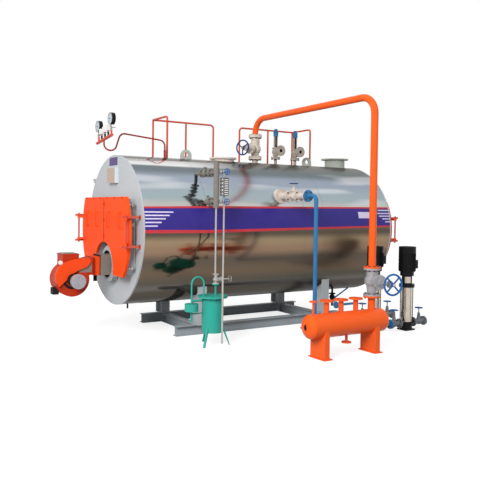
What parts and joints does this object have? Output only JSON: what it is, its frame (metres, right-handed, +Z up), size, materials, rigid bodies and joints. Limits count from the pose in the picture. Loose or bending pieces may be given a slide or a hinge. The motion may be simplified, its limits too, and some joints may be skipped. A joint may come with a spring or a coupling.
{
  "type": "horizontal fire-tube steam boiler",
  "caption": "Horizontal fire-tube steam boiler on a skid, with hinged smokebox doors, burner, steam header, feed pumps, valves and fittings.",
  "frame": {"origin": "middle of the front cross beam's underside, on the floor, 1000 mm behind the front plate", "axes": "+X from the front plate to the rear plate along the boiler, -Y the side with the steam header and pumps, +Z up"},
  "size_m": [5.198, 3.8853, 3.1214],
  "materials": {
    "cladding": "polished stainless sheet",
    "end_plate_paint": "satin light grey",
    "door_paint": "gloss orange",
    "pipe_paint": "gloss orange",
    "skid_paint": "satin grey",
    "red_oxide": "satin red",
    "burner_paint": "gloss red orange",
    "burner_steel": "satin grey",
    "cast_grey": "painted casting",
    "bright_steel": "machined",
    "blue_paint": "gloss blue",
    "navy_paint": "gloss dark blue",
    "teal_paint": "gloss teal",
    "black_paint": "satin black",
    "gauge_body": "black dial gauge"
  },
  "bodies": {
    "boiler": {"shell": "cladding", "front_plate": "end_plate_paint", "rear_plate": "end_plate_paint", "front_smokebox": "skid_paint", "rear_smokebox": "skid_paint", "tube_plate": "cast_grey", "front_davits": "red_oxide", "rear_davits": "red_oxide", "rails": "skid_paint", "cross_beams": "skid_paint", "saddles": "end_plate_paint", "burner_duct": "burner_steel", "burner_fan": "burner_paint", "burner_cover": "door_paint", "burner_motor": "bright_steel", "instrument_box": "burner_steel", "gauge_pipe": "red_oxide", "gauges": "gauge_body", "front_handrail": "red_oxide", "rear_handrail": "red_oxide", "manway": "cast_grey", "lifting_lugs": "cast_grey", "main_steam_valve": "cast_grey", "steam_pipe": "pipe_paint", "header_valve": "cast_grey", "steam_header": "pipe_paint", "header_nozzles": "pipe_paint", "header_legs": "pipe_paint", "safety_valves": "cast_grey", "flue_outlet": "cast_grey", "water_column": "cast_grey", "gauge_glass": "bright_steel", "drain_tubes": "bright_steel", "feed_valve": "cast_grey", "feed_pipe": "blue_paint", "condensate_pot": "teal_paint", "pot_fittings": "teal_paint", "pumps": "bright_steel", "pump_motors": "black_paint", "pump_valves": "cast_grey", "blowdown_valve": "black_paint"},
    "front_door_near": {"front_door_near": "door_paint"},
    "front_door_far": {"front_door_far": "door_paint"},
    "rear_door_near": {"rear_door_near": "door_paint"},
    "rear_door_far": {"rear_door_far": "door_paint"},
    "main_wheel": {"main_wheel": "navy_paint"},
    "header_wheel": {"header_wheel": "blue_paint"},
    "feed_wheel": {"feed_wheel": "navy_paint"},
    "blowdown_lever": {"blowdown_lever": "blue_paint"},
    "pump_wheel_near_in": {"pump_wheel_near_in": "blue_paint"},
    "pump_wheel_near_out": {"pump_wheel_near_out": "blue_paint"},
    "pump_wheel_far_in": {"pump_wheel_far_in": "blue_paint"},
    "pump_wheel_far_out": {"pump_wheel_far_out": "blue_paint"}
  },
  "joints": [
    {"name": "front_door_near_hinge", "type": "hinge", "parent": "boiler", "child": "front_door_near", "pos_m": [-1.19, -0.9, 1.4], "axis": [0, 0, 1], "range_deg": [0, 110]},
    {"name": "front_door_far_hinge", "type": "hinge", "parent": "boiler", "child": "front_door_far", "pos_m": [-1.19, 0.9, 1.4], "axis": [0, 0, -1], "range_deg": [0, 110]},
    {"name": "rear_door_near_hinge", "type": "hinge", "parent": "boiler", "child": "rear_door_near", "pos_m": [3.32, -0.9, 1.4], "axis": [0, 0, -1], "range_deg": [0, 110]},
    {"name": "rear_door_far_hinge", "type": "hinge", "parent": "boiler", "child": "rear_door_far", "pos_m": [3.32, 0.9, 1.4], "axis": [0, 0, 1], "range_deg": [0, 110]},
    {"name": "main_wheel_turn", "type": "hinge", "parent": "boiler", "child": "main_wheel", "pos_m": [0.95167, -0.12175, 2.605], "axis": [-0.9272, -0.3746, 0], "range_deg": [0, 1665]},
    {"name": "header_wheel_turn", "type": "hinge", "parent": "boiler", "child": "header_wheel", "pos_m": [1.28508, -2.85489, 0.85], "axis": [-0.1564, -0.9877, 0], "range_deg": [0, 1665]},
    {"name": "feed_wheel_turn", "type": "hinge", "parent": "boiler", "child": "feed_wheel", "pos_m": [1.095, -1.2, 2.048], "axis": [0, 0, 1], "range_deg": [0, 1260]},
    {"name": "blowdown_lever_turn", "type": "hinge", "parent": "boiler", "child": "blowdown_lever", "pos_m": [2.5, -0.442, 0.318], "axis": [0, 1, 0], "range_deg": [0, 90]},
    {"name": "pump_wheel_near_in_turn", "type": "hinge", "parent": "boiler", "child": "pump_wheel_near_in", "pos_m": [3.023, -1.68, 0.297], "axis": [0, 0, 1], "range_deg": [0, 1260]},
    {"name": "pump_wheel_near_out_turn", "type": "hinge", "parent": "boiler", "child": "pump_wheel_near_out", "pos_m": [2.525, -1.68, 0.297], "axis": [0, 0, 1], "range_deg": [0, 1260]},
    {"name": "pump_wheel_far_in_turn", "type": "hinge", "parent": "boiler", "child": "pump_wheel_far_in", "pos_m": [2.835, -1.24, 0.343], "axis": [0, 0, 1], "range_deg": [0, 1260]},
    {"name": "pump_wheel_far_out_turn", "type": "hinge", "parent": "boiler", "child": "pump_wheel_far_out", "pos_m": [2.337, -1.24, 0.343], "axis": [0, 0, 1], "range_deg": [0, 1260]}
  ]
}
